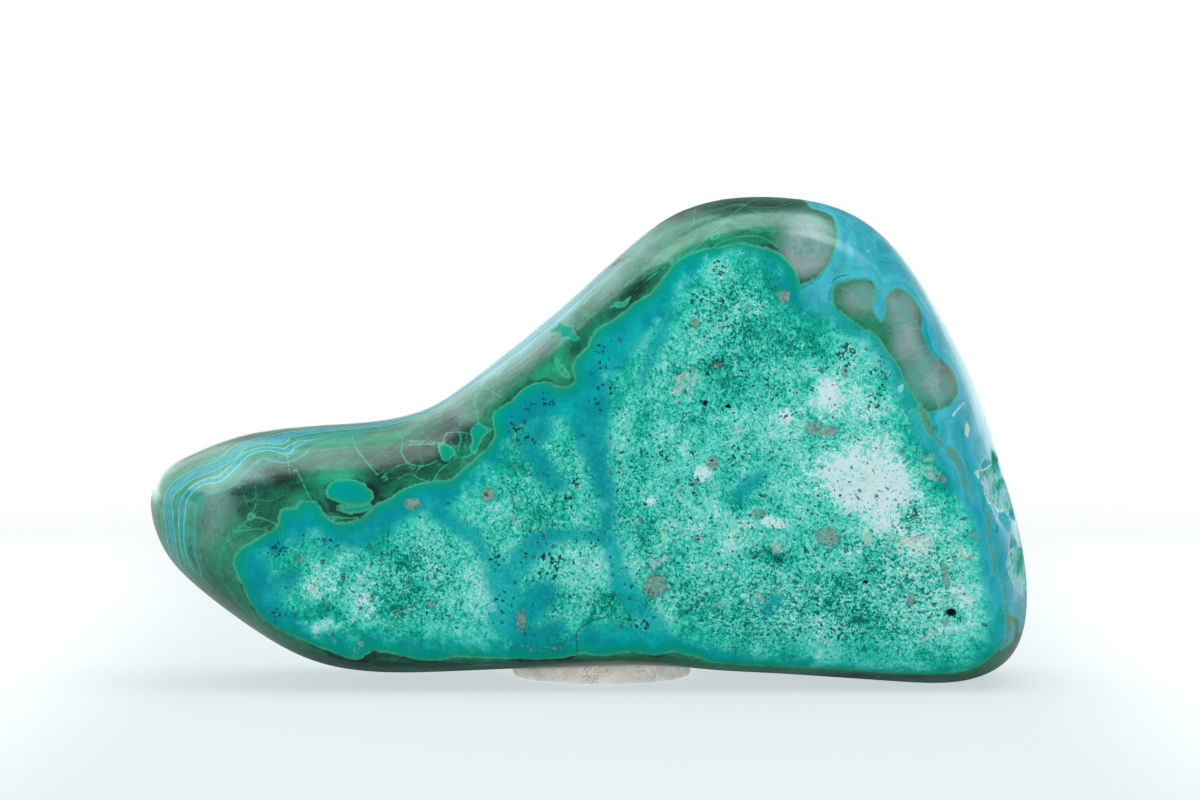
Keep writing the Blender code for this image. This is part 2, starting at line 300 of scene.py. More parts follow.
# The fresh breaks and their bruised edges.
SCARS = [
    [(975, 470), (984, 469), (990, 464), (994, 466), (1000, 473), (1006, 485), (1010, 492),
     (1014, 503), (1009, 511), (1003, 513), (996, 512), (992, 505), (987, 503), (985, 492),
     (982, 482), (976, 477)],
    [(1006, 564), (1009, 554), (1013, 548), (1022, 548), (1028, 560), (1028, 585), (1022, 596),
     (1016, 590), (1011, 578)],
    [(991, 449), (994, 452), (998, 460), (996, 466), (992, 465), (991, 457)],
    [(996, 523), (998, 524), (998, 534), (996, 534)],
]
SCAR_EDGES = [
    [(975, 471), (981, 470), (986, 469), (991, 465)],
    [(975, 472), (980, 478), (984, 486), (985, 494)],
    [(986, 494), (988, 502), (993, 505), (997, 511), (998, 520)], [(997, 512), (1003, 510)],
    [(1006, 565), (1009, 573), (1013, 583), (1018, 592)], [(1007, 560), (1010, 552), (1014, 548)],
    [(952, 416), (957, 411), (961, 406), (965, 402)], [(984, 476), (987, 487), (989, 499)],
]
# Turquoise islands in the malachite.
ISLANDS = [
    [(327, 491), (330, 484), (338, 480), (349, 480), (360, 482), (368, 488), (373, 495),
     (370, 502), (360, 505), (345, 504), (334, 500), (328, 497)],
    [(336, 508), (348, 507), (360, 506), (371, 504), (370, 509), (360, 512), (347, 513)],
    [(471, 432), (476, 424), (481, 424), (485, 428), (492, 429), (489, 432), (483, 436),
     (480, 443), (477, 450), (474, 454), (471, 449), (473, 441)],
    [(439, 445), (446, 444), (452, 448), (454, 453), (450, 459), (446, 462), (441, 457)],
    [(556, 356), (560, 363), (565, 369), (571, 378), (565, 377), (558, 369), (555, 362)],
    [(248, 515), (252, 513), (255, 516), (252, 520), (248, 519)],
    [(548, 331), (556, 327), (560, 321), (566, 325), (573, 326), (574, 332), (579, 338), (573, 341),
     (567, 337), (562, 339), (559, 333), (554, 333)],
    [(610, 307), (616, 302), (622, 303), (630, 297), (627, 304), (620, 308), (615, 306)],
    [(711, 238), (715, 233), (719, 234), (717, 239)],
]
# The middles of the two blue bands.
FIRST_BAND = [
    (192, 580), (176, 560), (171, 540), (169, 520), (168, 500), (175, 487), (187, 478),
    (200, 471), (214, 466), (228, 458), (240, 447), (255, 442), (270, 439), (279, 441),
    (283, 436), (300, 433), (320, 430), (350, 427), (380, 424), (400, 420), (430, 410),
    (455, 395), (480, 378), (510, 356), (545, 329), (580, 298), (615, 267), (640, 247),
]
SECOND_BAND = [
    (190, 566), (183, 550), (181, 530), (182, 510), (186, 496), (195, 487), (208, 481),
    (219, 479), (228, 471), (238, 462), (248, 453), (262, 449), (275, 449), (286, 452),
    (291, 447), (302, 442), (318, 438), (336, 435), (356, 433),
]
# Fine pale veins in the malachite, and dark cracks.
VEINS = [
    [(296, 470), (301, 479), (306, 490), (312, 500), (320, 509), (329, 517), (336, 524)],
    [(287, 451), (288, 460), (289, 470)],
    [(352, 433), (354, 444), (361, 455), (370, 466), (377, 474), (384, 480)],
    [(217, 528), (226, 536), (234, 549)],
    [(232, 531), (243, 524), (250, 517), (256, 505)],
    [(228, 535), (240, 531), (255, 529), (268, 530)],
    [(250, 517), (262, 518), (272, 523)],
    [(405, 446), (420, 444), (437, 446), (441, 454), (435, 462), (421, 466), (409, 464),
     (397, 466), (390, 471), (383, 476)],
    [(399, 434), (403, 440), (401, 450), (404, 458), (409, 464)],
    [(421, 466), (415, 476), (429, 482)], [(383, 476), (397, 479), (407, 474), (415, 476)],
    [(403, 440), (412, 441), (427, 441), (441, 443)],
    [(446, 433), (458, 432), (470, 434), (473, 440), (470, 446), (460, 447), (450, 446),
     (444, 442), (446, 433)],
    [(459, 433), (461, 440), (458, 446)],
    [(454, 448), (460, 446), (469, 448), (472, 454), (464, 458), (456, 456), (454, 448)],
    [(479, 424), (477, 412), (474, 401), (480, 392), (484, 384)],
    [(480, 386), (490, 390), (501, 397)],
    [(470, 455), (458, 458), (449, 463), (440, 470), (434, 479)],
    [(648, 268), (664, 262), (680, 256), (693, 250), (702, 243), (711, 233), (722, 226)],
    [(640, 286), (655, 274), (668, 266), (684, 262)],
    [(668, 262), (690, 258), (708, 250), (726, 240), (748, 236), (764, 238), (776, 246)],
    [(722, 209), (736, 204), (748, 207), (762, 207), (776, 207), (792, 203)],
    [(728, 218), (738, 210), (748, 203), (756, 199)],
    [(694, 222), (695, 211), (698, 203)],
    [(832, 287), (836, 276), (846, 271), (860, 269), (874, 272), (881, 281), (884, 292)],
    [(888, 331), (902, 329), (921, 328)],
    [(899, 358), (912, 351), (927, 345)],
    [(911, 377), (920, 366), (930, 357)],
    [(917, 386), (928, 378), (940, 367)],
    [(934, 396), (938, 404), (940, 410)],
    [(330, 516), (345, 518), (360, 517), (372, 511)],
    [(296, 525), (286, 533), (272, 540), (256, 548)],
]
CRACKS = [
    [(582, 307), (597, 295), (610, 281), (624, 264)],
    [(499, 380), (516, 368), (536, 353), (556, 335)],
    [(448, 409), (462, 400), (478, 390)],
    [(391, 430), (402, 426), (408, 423)],
    [(577, 650), (577, 632), (592, 621), (606, 617)],
    [(832, 281), (838, 277), (846, 275)],
]
# Smooth turquoise rivers through the heart, with half widths in pixels.
RIVERS = [
    [(612, 356, 16), (626, 332, 17), (644, 310, 14), (662, 290, 10)],
    [(566, 392, 24), (585, 400, 24), (590, 430, 20), (597, 460, 13), (604, 490, 11),
     (608, 520, 10), (606, 540, 9)],
    [(508, 578, 12), (522, 560, 13), (536, 545, 12), (552, 536, 9), (580, 535, 8), (602, 537, 9),
     (613, 550, 9), (616, 566, 10), (622, 585, 12), (636, 604, 10), (652, 622, 9), (664, 638, 9),
     (680, 650, 8), (720, 657, 7), (770, 663, 5)],
    [(495, 565, 12), (505, 590, 16), (520, 612, 18), (535, 600, 18), (548, 590, 12)],
    [(500, 620, 14), (530, 636, 12), (556, 628, 10)],
    [(586, 640, 10), (610, 636, 13), (636, 638, 12), (656, 640, 9)],
    [(330, 532, 7), (350, 536, 12), (372, 526, 14), (390, 512, 14), (420, 500, 9)],
    [(258, 572, 14), (262, 600, 14), (284, 582, 11), (296, 575, 8)],
    [(292, 520, 12), (300, 535, 7)],
    [(440, 512, 12), (458, 528, 10), (475, 538, 10), (488, 560, 8)],
    [(545, 470, 13), (556, 484, 10), (530, 446, 10), (540, 430, 12)],
    [(735, 497, 8), (748, 486, 9), (762, 476, 7)],
    [(765, 610, 9), (776, 600, 8)],
    [(642, 382, 5), (650, 358, 7), (660, 335, 7), (672, 312, 6)],
]
# Soft patches, each a place, two radii, a turn in degrees and a strength: whitened grains,
# painted sheen along the slope's top edge, and painted light and shade on the breaks' flats.
PALE = [
    (862, 466, 42, 26, -10, 1.5), (838, 488, 22, 20, 0, 1.1), (896, 492, 22, 24, 0, 1.3),
    (870, 506, 20, 16, 0, 0.8), (886, 420, 24, 24, 20, 0.7), (826, 391, 12, 11, 0, 1.5),
    (785, 415, 6, 6, 0, 1.6), (840, 408, 22, 16, 0, 0.6), (806, 412, 20, 16, 0, 0.45),
    (773, 522, 15, 6, -8, 2.2), (703, 473, 9, 6, 0, 2.0), (651, 502, 7, 6, 0, 1.5),
    (697, 527, 10, 9, 0, 0.8), (318, 585, 22, 14, 0, 0.75), (366, 594, 13, 26, 0, 0.85),
    (336, 622, 38, 9, 4, 0.7), (322, 627, 11, 5, 20, 1.3), (340, 556, 12, 17, -40, 0.6),
    (915, 543, 14, 14, 0, 1.0), (890, 525, 18, 10, 0, 0.8), (930, 600, 24, 18, 0, 0.3),
    (962, 610, 18, 40, 0, 0.45), (798, 482, 18, 20, 0, 0.5), (850, 552, 12, 10, 0, 0.9),
    (600, 505, 14, 8, 0, 0.6), (760, 345, 8, 5, 0, 0.5), (640, 448, 18, 18, 0, 0.25),
    (515, 388, 7, 6, -30, 1.0), (528, 371, 4, 4, 0, 1.0), (806, 345, 14, 4, -10, 0.7),
    (970, 560, 14, 50, 0, 0.35), (901, 388, 2.5, 2.5, 0, 2.4),
    (967, 430, 2, 6, 0, 2.0), (868, 251, 3, 3, 0, 0.8), (846, 262, 4, 3, 0, 0.5),
]
PAINTED_EDGE_SHEEN = [
    (488, 370, 26, 9, 36, 1.0), (524, 343, 26, 9, 38, 1.0), (562, 309, 28, 10, 43, 1.0),
    (600, 273, 30, 11, 44, 0.6), (640, 238, 26, 9, 40, 0.7),
]
# Painted light and shade: flats of the breaks painted lighter (positive) and darker (negative).
LIT_AND_SHADED_FLATS = [
    (989.5, 487, 3, 11, 0, 1.6), (1003, 496, 4, 7, -30, 1.5), (1016, 588, 6, 10, -15, 1.5),
    (1001, 482, 4, 8, -35, -1.3), (1020, 562, 3, 14, 0, -1.4), (994, 458, 4, 8, 0, -2.0),
    (984, 473, 5, 4, 0, -0.5), (997, 529, 3, 5, 0, -2.0),
]
# Darker green in the heart, and where its strands run level.
SHADE = [
    (418, 560, 28, 18, 0, 1.0), (405, 600, 28, 24, 0, 0.9), (440, 585, 16, 28, 0, 0.6),
    (308, 616, 16, 10, 0, 0.7), (765, 290, 28, 16, 0, 0.5), (740, 335, 46, 34, 0, 0.35),
    (718, 366, 14, 9, 0, 0.9), (612, 598, 30, 12, 8, 1.1), (625, 612, 22, 8, 0, 0.8),
    (700, 602, 38, 22, 0, 0.45), (858, 618, 20, 12, 0, 1.0), (835, 592, 26, 18, 0, 0.4),
    (880, 560, 26, 18, 0, 0.45), (768, 556, 26, 8, -12, 0.9), (800, 345, 20, 14, 0, 0.4),
    (736, 502, 7, 9, 30, 0.9), (566, 598, 14, 10, 0, 0.5), (740, 640, 60, 14, 2, 0.35),
    (560, 655, 50, 8, 0, 0.8), (500, 655, 40, 8, 0, 0.6), (562, 648, 12, 7, 0, 1.2),
    (960, 618, 6, 8, 20, 1.2), (910, 520, 10, 6, 0, 0.7), (640, 560, 8, 30, 0, 0.3),
    (720, 300, 30, 14, 0, 0.3), (460, 440, 30, 20, 0, 0.2),
    (740, 340, 60, 50, 0, 0.3), (790, 610, 110, 40, 0, 0.35), (520, 490, 40, 50, 0, 0.5),
    (530, 605, 30, 35, 0, 0.5),
]
COARSE = [
    (800, 610, 110, 50, 4, 1.2), (925, 570, 45, 80, 0, 1.3), (860, 370, 40, 30, 30, 0.9),
    (730, 300, 50, 40, 0, 0.6), (400, 570, 60, 40, 0, 0.7), (880, 530, 40, 30, 0, 0.6),
    (680, 560, 40, 60, 0, 0.5), (760, 410, 60, 40, 0, 0.3),
]
# Black specks, brown-grey stains and rosy grey grains.
SPECKS = [
    (528, 403, 7, 6, 0, 1.6), (546, 400, 7, 8, 0, 1.6), (514, 428, 6, 5, 0, 1.5),
    (527, 439, 9, 5, 0, 1.0), (602, 350, 4, 5, 0, 1.8), (604, 363, 6, 4, 0, 1.6),
    (619, 366, 7, 4, 10, 1.3), (610, 385, 12, 12, 0, 0.7), (605, 405, 12, 14, 0, 0.6),
    (718, 268, 5, 9, 0, 1.6), (744, 258, 3, 7, 20, 1.4), (744, 272, 5, 6, 0, 1.0),
    (695, 300, 8, 8, 0, 0.6), (843, 350, 4, 15, -15, 2.2), (849, 362, 3, 8, -30, 2.0),
    (851, 348, 3, 6, 30, 1.5), (881, 360, 3, 10, -20, 2.2), (888, 375, 3, 8, -45, 2.2),
    (873, 373, 6, 3, 0, 1.8), (878, 390, 4, 9, -20, 1.3), (704, 403, 4, 3, 20, 2.2),
    (728, 406, 4, 3, 0, 2.2), (718, 365, 10, 4, 20, 1.6), (726, 300, 5, 10, 0, 0.9),
    (765, 316, 9, 4, 0, 1.2), (575, 480, 5, 5, 0, 1.2), (565, 500, 10, 5, 0, 1.0),
    (552, 560, 14, 6, -20, 1.3), (548, 575, 9, 7, 0, 1.3), (497, 555, 8, 10, 0, 1.0),
    (500, 600, 8, 14, 0, 0.8), (640, 624, 9, 8, 0, 1.2), (276, 550, 8, 7, 0, 1.5),
    (310, 538, 9, 3, -10, 1.2), (332, 544, 4, 9, 30, 1.3), (275, 616, 7, 6, 0, 1.3),
    (286, 603, 4, 4, 0, 1.4), (865, 582, 3, 2, 0, 2.6), (819, 548, 12, 6, 30, 1.3),
    (830, 556, 8, 4, 0, 1.3), (915, 512, 5, 4, 0, 1.6), (780, 560, 6, 4, 0, 1.0),
    (840, 632, 22, 7, 0, 1.0), (660, 455, 14, 8, 0, 0.8), (690, 490, 20, 12, 0, 0.7),
    (700, 537, 9, 4, 10, 1.4), (849, 246, 2.4, 1.6, 0, 2.4), (880, 402, 14, 18, 20, 0.6),
    (945, 480, 4, 5, 0, 1.3), (869, 249, 2, 1.5, 0, 2.2), (970, 470, 3, 8, 0, 0.5),
]
STAINS = [
    (488, 495, 7, 7, 0, 1.6), (412, 504, 10, 6, 0, 1.3), (655, 586, 14, 13, 0, 1.2),
    (813, 428, 6, 6, 0, 2.2), (829, 431, 9, 4, 0, 2.2), (828, 537, 14, 9, -20, 1.3),
    (759, 514, 7, 5, 0, 1.6), (713, 463, 5.5, 6.5, 0, 1.9), (784, 297, 7, 8, 0, 1.3),
    (695, 323, 6, 5, 0, 1.2), (521, 620, 7, 18, 0, 0.9), (945, 574, 3, 14, 14, 1.5),
    (748, 308, 6, 5, 0, 0.9), (974, 535, 3, 6, 0, 1.3), (970, 558, 7, 2.5, 40, 1.1),
    (430, 605, 5, 6, 0, 0.9), (911, 600, 4, 8, 0, 1.3), (845, 372, 4, 9, 0, 1.0),
    (821, 369, 6, 4, 0, 0.8), (697, 538, 4, 4, 0, 1.3), (681, 533, 4, 3, 0, 1.2),
    (695, 482, 4, 4, 0, 1.2), (680, 490, 4, 3, 0, 1.1), (945, 622, 6, 5, 0, 0.9),
    (716, 366, 9, 5, 0, 0.8), (902, 452, 5, 6, 30, 0.8), (943, 479, 3, 5, 10, 1.4),
    (914, 516, 4, 4, 0, 1.3), (640, 520, 4, 4, 0, 0.9), (585, 562, 5, 4, 0, 0.9),
    (300, 560, 4, 6, 40, 0.9), (610, 470, 4, 4, 0, 0.8), (512, 520, 4, 4, 0, 0.9),
]
BLUSH = [
    (716, 328, 10, 8, 0, 0.9), (755, 345, 10, 6, 0, 0.7), (686, 378, 18, 10, 0, 1.0),
    (775, 548, 16, 10, 0, 0.9), (897, 545, 12, 10, 0, 1.0), (915, 540, 8, 12, 0, 0.9),
    (795, 590, 22, 10, 0, 0.8), (760, 600, 12, 8, 0, 0.8), (725, 605, 10, 8, 0, 0.8),
    (445, 620, 7, 10, 0, 0.9), (755, 464, 9, 6, 0, 1.0), (700, 345, 9, 6, 0, 0.8),
    (680, 392, 9, 6, 0, 0.8), (740, 430, 8, 5, 0, 0.7), (868, 540, 14, 8, 0, 0.8),
    (315, 590, 10, 10, 0, 0.7), (520, 500, 12, 8, 0, 0.5), (780, 455, 10, 6, 0, 0.6),
    (660, 560, 12, 14, 0, 0.6), (930, 470, 9, 12, 20, 0.6), (925, 640, 9, 7, 0, 0.7),
]
# Lighter and darker malachite, its dark strips on crest and foot painted shade, and painted sheen.
TONES_AND_SHADE = [
    (632, 294, 34, 9, 42, -1.3), (577, 348, 18, 8, 42, -1.1), (168, 520, 20, 52, 12, 1.2),
    (430, 444, 30, 12, 20, -1.2), (300, 478, 16, 14, 0, -0.7), (236, 500, 16, 30, 10, -0.5),
    (262, 506, 34, 22, -20, -1.0), (286, 482, 20, 11, -20, -1.0), (375, 480, 14, 16, 0, -1.0),
    (425, 470, 30, 12, -10, -0.6), (465, 430, 18, 8, -30, -1.0), (452, 440, 12, 6, 0, -0.8),
    (400, 462, 30, 8, 0, -0.5), (700, 212, 60, 8, 12, -0.8), (770, 205, 40, 5, 0, -1.0),
    (800, 265, 14, 20, 0, -0.5), (420, 664, 90, 6, 0, -0.9), (600, 662, 80, 6, 0, -0.8),
    (880, 677, 110, 4, 0, -0.9), (332, 476, 34, 11, 5, 1.1), (300, 498, 11, 16, 0, 0.8),
    (345, 440, 45, 6, 2, 0.8), (395, 437, 14, 5, 0, 0.5), (258, 545, 20, 8, 20, 0.7),
    (545, 372, 26, 9, 20, 1.0), (562, 352, 8, 12, 0, 0.8), (870, 318, 14, 10, 0, 0.6),
    (690, 250, 40, 8, 15, 0.3), (590, 338, 18, 10, 40, 0.4), (760, 222, 50, 10, 0, 0.4),
    (815, 235, 16, 20, 0, 0.5), (930, 385, 20, 26, 0, 0.4), (215, 520, 20, 50, 0, 0.35),
]
# Painted sheen on the malachite, grey where its polish would mirror the lamps.
PAINTED_SHEEN = [
    (806, 236, 30, 28, 0, 1.1), (806, 262, 26, 18, 20, 0.9), (860, 297, 24, 20, 0, 1.0),
    (904, 310, 20, 26, 0, 1.0), (906, 344, 16, 20, -20, 0.8), (928, 374, 24, 30, -20, 1.0),
    (944, 392, 14, 14, 0, 0.7), (215, 500, 30, 34, 0, 0.7), (205, 545, 16, 30, -20, 0.4),
    (660, 258, 40, 7, -14, 0.5), (462, 412, 30, 14, -20, 0.5), (545, 340, 40, 11, 42, 0.8),
    (385, 418, 60, 6, 0, 0.5), (610, 284, 34, 11, 42, 0.8), (258, 550, 14, 12, 0, 0.3),
    (168, 530, 16, 44, 12, 0.3), (250, 474, 30, 9, -14, 0.6), (700, 214, 40, 8, -14, 0.5),
    (505, 374, 40, 8, 38, 0.6),
]


def on_skin(px, py):
    """The place on the stone, in millimetres, that covers a point of the camera's frame."""
    across = (px - FRAME_WIDTH / 2) / FOCAL
    above = (FRAME_HEIGHT / 2 - py) / FOCAL
    start = Vector(camera.location)
    way = (AHEAD + Vector((1, 0, 0)) * across + UP * above).normalized()
    met = surface.ray_cast(start, way)[0]
    if met is None:
        passing = start + way * ((WIDEST_Y * MM - start.y) / way.y)
        met = surface.find_nearest(passing)[0]
    return met / MM


def rounded(points, closed):
    """The same outline with three more points on each span, along a smooth curve."""
    p = np.array(points, dtype=float)
    if not closed:
        p = np.vstack((2 * p[0] - p[1], p, 2 * p[-1] - p[-2]))
    spans = range(len(p)) if closed else range(1, len(p) - 2)
    out = []
    for i in spans:
        a, b, c, d = (p[(i + k) % len(p)] for k in (-1, 0, 1, 2))
        for t in (0, 0.25, 0.5, 0.75):
            out.append(0.5 * (2 * b + (c - a) * t + (2 * a - 5 * b + 4 * c - d) * t**2
                              + (3 * b - a - 3 * c + d) * t**3))
    return np.array(out if closed else out + [p[-2]])


def from_curve(curve, closed, reach=12.0):
    """Each skin point's distance from a curve laid on the skin, and what the curve holds there."""
    lowest, highest = curve[:, :3].min(axis=0) - reach, curve[:, :3].max(axis=0) + reach
    chosen = np.flatnonzero(((skin > lowest) & (skin < highest)).all(axis=1))
    here = skin[chosen]
    best = np.full(len(here), 1e9)
    held = np.zeros((len(here), curve.shape[1]))
    side = np.zeros(len(here))
    ends = np.roll(curve, -1, axis=0) if closed else curve[1:]
    for start, end in zip(curve, ends):
        along = end[:3] - start[:3]
        gap = here - start[:3]
        step = np.clip(gap @ along / max(along @ along, 1e-9), 0, 1)
        gap -= step[:, None] * along
        far = np.einsum("ij,ij->i", gap, gap)
        nearer = np.flatnonzero(far < best)
        best[nearer] = far[nearer]
        held[nearer] = start + step[nearer, None] * (end - start)
        side[nearer] = gap[nearer, 0] * along[2] - gap[nearer, 2] * along[0]
    count = len(skin)
    everywhere = np.full(count, 4 * reach), np.zeros((count, curve.shape[1])), np.ones(count)
    for whole, part in zip(everywhere, (np.sqrt(best), held, np.where(side < 0, -1.0, 1.0))):
        whole[chosen] = part
    return everywhere


def laid(points, closed):
    """A drawn outline as rows of a place on the skin and any value drawn with it."""
    line = rounded(points, closed)
    return np.array([(*on_skin(*row[:2]), *row[2:]) for row in line])


def within(points, across, up):
    """True for each place inside a closed outline."""
    held = np.zeros(len(across), dtype=bool)
    for (x0, y0), (x1, y1) in zip(points, np.roll(points, -1, axis=0)):
        if y0 != y1:
            crosses = (y0 > up) != (y1 > up)
            held ^= crosses & (across < (x1 - x0) * (up - y0) / (y1 - y0) + x0)
    return held


def depth_in(points, hidden=0.0):
    """Signed distance in millimetres: positive inside an outline, negative outside and behind."""
    far = from_curve(laid(points, True), True)[0]
    inside = within(rounded(points, True)[:, :2], seen_x, seen_y) & (skin[:, 1] < hidden)
    return np.where(inside, far, -far)


def strokes(lines):
    """Signed distance across the nearest of several drawn lines, and plain distance from it."""
    near, side = np.full(len(skin), 1e9), np.ones(len(skin))
    for line in lines:
        far, _, which = from_curve(laid(line, False), False)
        nearer = far < near
        near[nearer], side[nearer] = far[nearer], which[nearer]
    return near * side, near


def swathes(lines):
    """Signed distance inside the widest of several bands, each drawn with its half widths."""
    best = np.full(len(skin), OUTSIDE)
    for line in lines:
        far, held, _ = from_curve(laid(line, False), False)
        best = np.maximum(best, held[:, 3] / PIXELS_PER_MM - far)
    return np.where(skin[:, 1] < WIDEST_Y, best, OUTSIDE)


def patches(spots, behind=()):
    """A soft field of drawn patches: place, two radii, turn and strength, with others behind."""
    total = np.zeros(len(skin))
    for px, py, wide, tall, turn, strength in spots:
        u, v = seen_x - px, seen_y - py
        c, s = cos(radians(turn)), sin(radians(turn))
        out = ((c * u - s * v) / wide) ** 2 + ((s * u + c * v) / tall) ** 2
        total += strength * np.exp(-out)
    total *= in_front
    for x, y, z, reach, strength in behind:
        gap = ((skin - np.array((x, y, z))) ** 2).sum(axis=1)
        total += (1 - in_front) * strength * np.exp(-gap / reach**2)
    return total


def scattered(seed, count, reach, strength):
    """Soft patches at random places of the stone's hidden side."""
    draw = np.random.default_rng(seed)
    rows = []
    for _ in range(count):
        place = draw.uniform(*HIDDEN_SIDE)
        rows.append((*place, reach * draw.uniform(0.5, 1.4), strength * draw.uniform(0.5, 1.2)))
    return rows


def waves(rows, along):
    """A wandering line, the sum of waves: each one's height, and its turns along and upward."""
    return sum(tall * np.sin(a * along + b * skin[:, 2]) for tall, a, b in rows)


OUTSIDE = -50.0  # a depth that stands for nowhere near
PIXELS_PER_MM = 7.1
HIDDEN_SIDE = (-52, 8, 8), (56, 20, 62)  # two corners of the space behind the stone's middle
TURNS_BEHIND = (3.0, -2.0)  # depths where what is drawn in front has gone, and is whole
surface = BVHTree.FromObject(stone, bpy.context.evaluated_depsgraph_get())
skin = points_of(stone)
eye = np.array(camera.location) / MM
offset = skin - eye
ahead = offset @ np.array(AHEAD)
seen_x = FRAME_WIDTH / 2 + FOCAL * offset[:, 0] / ahead
seen_y = FRAME_HEIGHT / 2 - FOCAL * (offset @ np.array(UP)) / ahead
in_front = ease(skin[:, 1], *TURNS_BEHIND)

# The granular heart inside its margin, and the smaller one behind.
HEART_BEFORE, SMALL_HEART_BEHIND = -2, 4  # depths where the two hearts end
WINDOW_FROM = 80  # how far behind the stone its smaller heart is laid on from
lace_far, lace_held, _ = from_curve(laid(LACE, True), True, 40.0)
inside = within(rounded(LACE, True)[:, :2], seen_x, seen_y) & (skin[:, 1] < HEART_BEFORE)
heart = np.where(inside, lace_far, -lace_far)
margin = lace_held[:, 3]
window = rounded(BACK_WINDOW, True)
window_3d = np.array([surface.ray_cast(Vector((x, WINDOW_FROM, z)) * MM, Vector((0, -1, 0)))[0]
                      for x, z in window]) / MM
window_far = from_curve(window_3d, True, 30.0)[0]
inside = within(window, skin[:, 0], skin[:, 2]) & (skin[:, 1] > SMALL_HEART_BEHIND)
back_heart = np.where(inside, window_far, -window_far)

# The blue heel, drawn in front and cut off by wavy planes behind, without its malachite lobes.
HEEL_WAVES = (3.5, 0.35, 0.21), (1.5, 0.5, 0.7)
HEEL_TURNS = (4.0, -1.0)  # depths where the planes take over from the drawn edge
RIM_BEHIND = 7.0  # how wide the malachite is between the smaller heart and the blue
heel_wave = waves(HEEL_WAVES, skin[:, 1])
back_blue = np.minimum(skin[:, 0] - HEEL_FROM - heel_wave,
                       skin[:, 2] - HEEL_FOOT - 0.6 * heel_wave)
behind = 1 - ease(skin[:, 1], *HEEL_TURNS)
blue = depth_in(BLUE_HEEL, hidden=4.0) * (1 - behind) + back_blue * behind
blue = np.minimum(blue, np.where(skin[:, 1] > SMALL_HEART_BEHIND, -back_heart - RIM_BEHIND,
                                 -OUTSIDE))
for lobe in LOBES:
    blue = np.minimum(blue, -depth_in(lobe, hidden=2.0))
blue = np.minimum(blue, -swathes(SEAM))
islands = np.full(len(skin), OUTSIDE)
for island in ISLANDS:
    islands = np.maximum(islands, depth_in(island))

# Veins, cracks and bands. The first band fades out up the slope, the second past the toe, and
# both low down on it.
BAND_FADE, BAND_FOOT = 1.6, (18.5, 14.5)
vein, vein_far = strokes(VEINS)
crack, crack_far = strokes(CRACKS)
bands = []
for line, fades, gone in ((FIRST_BAND, 0.0, 7.3), (SECOND_BAND, -42.0, -33.0)):
    far, held, _ = from_curve(laid(line, False), False, 20.0)
    far += BAND_FADE * np.maximum(ease(held[:, 0], fades, gone), ease(held[:, 2], *BAND_FOOT))
    bands.append(np.where(skin[:, 1] > held[:, 1], far, -far))

# The fresh breaks at the heel's edge and the rough hollows behind, and the holes in the face.
BROKEN_BEHIND = (7, 17, 32, 5, 1.1), (15, 17, 36.6, 3.5, 1.1), (-30, 15, 24, 2.6, 1)
RAGGED_WAVES = (0.2, 1.1, 0.6), (0.2, -0.5, 1.7), (0.2, 2.3, 1.9)
SCAR_SIDE, SCAR_WAVES = -2.5, ((1.2, 0, 1.7),)  # how far round the edge the breaks go
HOLE_SHADE_RIM = 1.25  # share of a hole's radius that is painted dark, as shade
ragged_edge = 1 + waves(RAGGED_WAVES, skin[:, 0])
side_edge = SCAR_SIDE - skin[:, 1] + waves(SCAR_WAVES, skin[:, 0])
scars = [np.minimum(depth_in(scar, hidden=4.0), side_edge) for scar in SCARS]
scars.append(patches((), BROKEN_BEHIND) * ragged_edge - 0.5)
# Painted shade inside the deeper holes.
hole_shades = [HOLE_SHADE_RIM - np.hypot((skin[:, 0] - x) / wide, (skin[:, 2] - z) / tall)
           for x, z, wide, tall, deep in HOLES if deep > 0.4]

# Behind, patches are scattered from a seed of their own: how many, how far they reach, how strong.
MARKINGS = {
    "heart": np.maximum(heart, back_heart),
    "margin": np.where(skin[:, 1] < 0, margin, 3.0),
    "blue": blue,
    "islands": islands,
    "river": swathes(RIVERS),
    "vein": vein,
    "vein_far": vein_far,
    "crack": crack,
    "crack_far": crack_far,
    "first_band": bands[0],
    "second_band": bands[1],
    "pale": patches(PALE, scattered(3, 16, 5.0, 1.1)),
    "scar": np.maximum.reduce(scars),
    "frost": patches(PAINTED_EDGE_SHEEN),
    "facet": patches(LIT_AND_SHADED_FLATS),
    "scar_edge": strokes(SCAR_EDGES)[1],
    "hollow": np.maximum.reduce(hole_shades) * (skin[:, 1] < -12),
    "strip": swathes(STRIPS),
    "shade": patches(SHADE, scattered(4, 14, 7.0, 0.9)),
    "coarse": patches(COARSE, scattered(9, 8, 9.0, 1.0)),
    "specks": patches(SPECKS, scattered(5, 26, 2.5, 1.4)),
    "stains": patches(STAINS, scattered(6, 20, 2.2, 1.2)),
    "blush": patches(BLUSH, scattered(10, 12, 3.5, 1.0)),
    "tones": patches(TONES_AND_SHADE, scattered(7, 12, 9.0, 0.8)),
    "bloom": patches(PAINTED_SHEEN, scattered(8, 12, 8.0, 0.6)),
}
for name, values in MARKINGS.items():
    made = stone.data.attributes.new(name, "FLOAT", "POINT")
    made.data.foreach_set("value", values.astype(np.float32))
